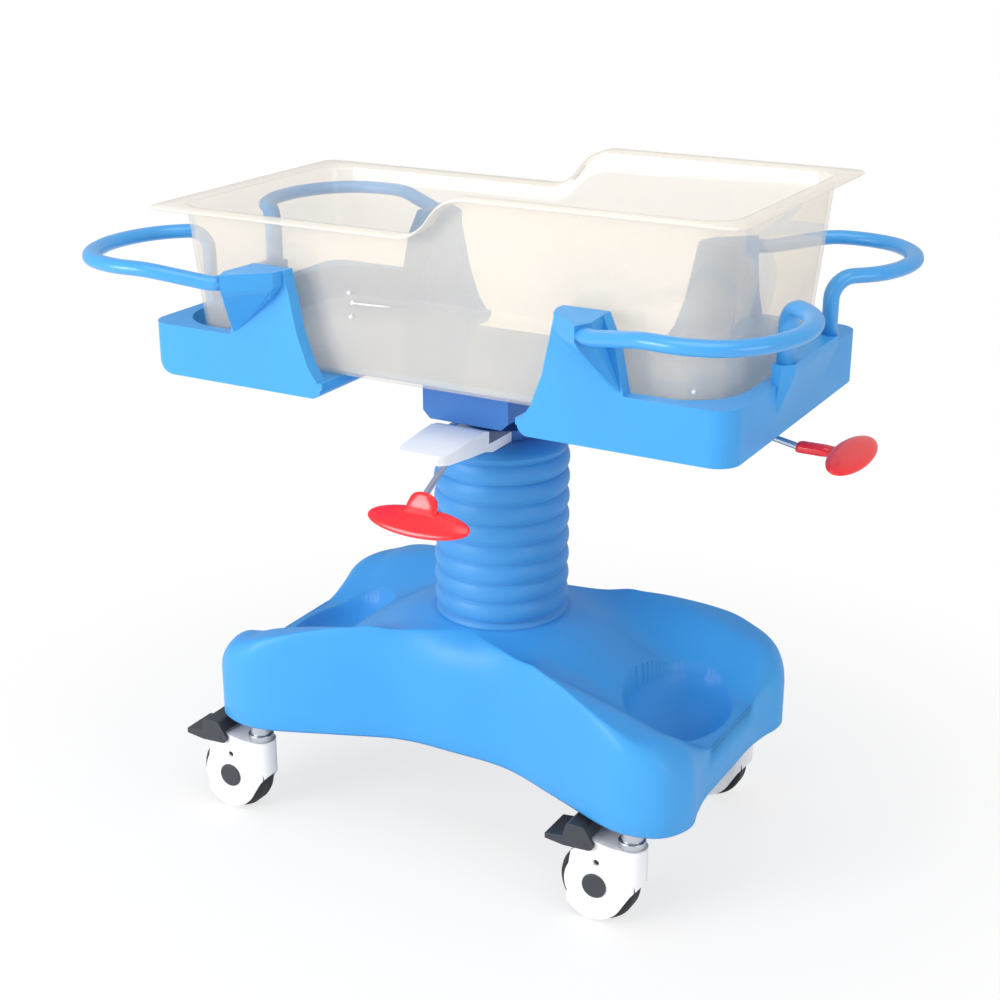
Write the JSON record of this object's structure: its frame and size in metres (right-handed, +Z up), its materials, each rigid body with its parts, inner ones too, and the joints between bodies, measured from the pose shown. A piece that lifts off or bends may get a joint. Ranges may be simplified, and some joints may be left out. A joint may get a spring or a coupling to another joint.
{
  "type": "hospital bassinet",
  "caption": "Wheeled hospital bassinet: clear removable tub in a tilting cradle with corner handles, on a height-adjustable column and a cross-shaped base with braked casters.",
  "frame": {"origin": "on the floor, under the middle of the column and of the whole outline", "axes": "+X along the tub towards its high head end, +Y across it, +Z up"},
  "size_m": [0.9423, 0.601, 0.87],
  "materials": {
    "cover_blue": "satin moulded blue",
    "cradle_blue": "satin moulded blue",
    "handle_blue": "blue coated tube",
    "deep_blue": "satin dark blue",
    "bellows_blue": "soft blue rubber",
    "head_blue": "dark blue paint",
    "paddle_red": "glossy red",
    "caster_white": "white moulded",
    "housing_white": "white moulded",
    "wheel_white": "white moulded",
    "tread_black": "black tread",
    "cap_grey": "dark grey",
    "pedal_grey": "dark grey",
    "steel": "zinc plated steel",
    "frame_black": "black powder coat",
    "spring_black": "black paint",
    "chrome": "polished chrome",
    "clear": "clear acrylic"
  },
  "bodies": {
    "base": {"base_cover": "cover_blue", "base_frame": "frame_black", "column_tube": "steel", "column_bolts": "steel", "cover_screws": "steel", "gas_spring_cylinder": "spring_black", "bellows": "bellows_blue", "caster_stem_1": "steel", "caster_stem_2": "steel", "caster_stem_3": "steel", "caster_stem_4": "steel"},
    "lift": {"lift_tube": "chrome", "lift_head": "head_blue", "tilt_pin": "steel", "gas_spring_rod": "chrome", "lever_housing": "housing_white", "height_lever_pin": "steel"},
    "height_lever": {"height_lever_rod": "steel", "height_paddle": "paddle_red"},
    "cradle": {"cradle_tray": "cradle_blue", "cradle_block": "steel", "pivot_skirt": "deep_blue", "corner_handle_1": "handle_blue", "corner_handle_2": "handle_blue", "corner_handle_3": "handle_blue", "corner_handle_4": "handle_blue", "tilt_bracket": "steel", "tilt_lever_pin": "steel"},
    "tilt_lever": {"tilt_lever_rod": "steel", "tilt_paddle": "paddle_red"},
    "tub_body": {"tub": "clear"},
    "caster_1": {"caster_hood_1": "caster_white", "caster_axle_1": "cap_grey"},
    "wheel_1": {"caster_tyre_1": "tread_black", "caster_wheel_1": "wheel_white"},
    "pedal_1": {"brake_pedal_1": "pedal_grey"},
    "caster_2": {"caster_hood_2": "caster_white", "caster_axle_2": "cap_grey"},
    "wheel_2": {"caster_tyre_2": "tread_black", "caster_wheel_2": "wheel_white"},
    "pedal_2": {"brake_pedal_2": "pedal_grey"},
    "caster_3": {"caster_hood_3": "caster_white", "caster_axle_3": "cap_grey"},
    "wheel_3": {"caster_tyre_3": "tread_black", "caster_wheel_3": "wheel_white"},
    "pedal_3": {"brake_pedal_3": "pedal_grey"},
    "caster_4": {"caster_hood_4": "caster_white", "caster_axle_4": "cap_grey"},
    "wheel_4": {"caster_tyre_4": "tread_black", "caster_wheel_4": "wheel_white"},
    "pedal_4": {"brake_pedal_4": "pedal_grey"}
  },
  "joints": [
    {"name": "height_lift", "type": "slide", "parent": "base", "child": "lift", "axis": [0, 0, 1], "range_m": [-0.06, 0.14], "deforming": ["bellows"]},
    {"name": "height_lever_pull", "type": "hinge", "parent": "lift", "child": "height_lever", "pos_m": [0, -0.105, 0.553], "axis": [-1, 0, 0], "range_deg": [0, 14], "stiffness_Nm_per_rad": 6},
    {"name": "cradle_tilt", "type": "hinge", "parent": "lift", "child": "cradle", "pos_m": [0, 0, 0.592], "axis": [0, 1, 0], "range_deg": [-12, 12]},
    {"name": "tilt_lever_pull", "type": "hinge", "parent": "cradle", "child": "tilt_lever", "pos_m": [0.29, 0, 0.602], "axis": [0, -1, 0], "range_deg": [0, 10], "stiffness_Nm_per_rad": 6},
    {"name": "tub_lift_out", "type": "slide", "parent": "cradle", "child": "tub_body", "axis": [0, 0, 1], "range_m": [0, 0.15]},
    {"name": "swivel_1", "type": "hinge", "parent": "base", "child": "caster_1", "pos_m": [0.275, -0.171, 0.1], "axis": [0, 0, 1], "continuous": true},
    {"name": "wheel_spin_1", "type": "hinge", "parent": "caster_1", "child": "wheel_1", "pos_m": [0.235, -0.171, 0.05], "axis": [0, 1, 0], "continuous": true},
    {"name": "brake_press_1", "type": "hinge", "parent": "caster_1", "child": "pedal_1", "pos_m": [0.227, -0.171, 0.107], "axis": [0, 1, 0], "range_deg": [-14, 0]},
    {"name": "swivel_2", "type": "hinge", "parent": "base", "child": "caster_2", "pos_m": [0.275, 0.171, 0.1], "axis": [0, 0, 1], "continuous": true},
    {"name": "wheel_spin_2", "type": "hinge", "parent": "caster_2", "child": "wheel_2", "pos_m": [0.235, 0.171, 0.05], "axis": [0, 1, 0], "continuous": true},
    {"name": "brake_press_2", "type": "hinge", "parent": "caster_2", "child": "pedal_2", "pos_m": [0.227, 0.171, 0.107], "axis": [0, 1, 0], "range_deg": [-14, 0]},
    {"name": "swivel_3", "type": "hinge", "parent": "base", "child": "caster_3", "pos_m": [-0.275, -0.171, 0.1], "axis": [0, 0, 1], "continuous": true},
    {"name": "wheel_spin_3", "type": "hinge", "parent": "caster_3", "child": "wheel_3", "pos_m": [-0.315, -0.171, 0.05], "axis": [0, 1, 0], "continuous": true},
    {"name": "brake_press_3", "type": "hinge", "parent": "caster_3", "child": "pedal_3", "pos_m": [-0.323, -0.171, 0.107], "axis": [0, 1, 0], "range_deg": [-14, 0]},
    {"name": "swivel_4", "type": "hinge", "parent": "base", "child": "caster_4", "pos_m": [-0.275, 0.171, 0.1], "axis": [0, 0, 1], "continuous": true},
    {"name": "wheel_spin_4", "type": "hinge", "parent": "caster_4", "child": "wheel_4", "pos_m": [-0.315, 0.171, 0.05], "axis": [0, 1, 0], "continuous": true},
    {"name": "brake_press_4", "type": "hinge", "parent": "caster_4", "child": "pedal_4", "pos_m": [-0.323, 0.171, 0.107], "axis": [0, 1, 0], "range_deg": [-14, 0]}
  ]
}
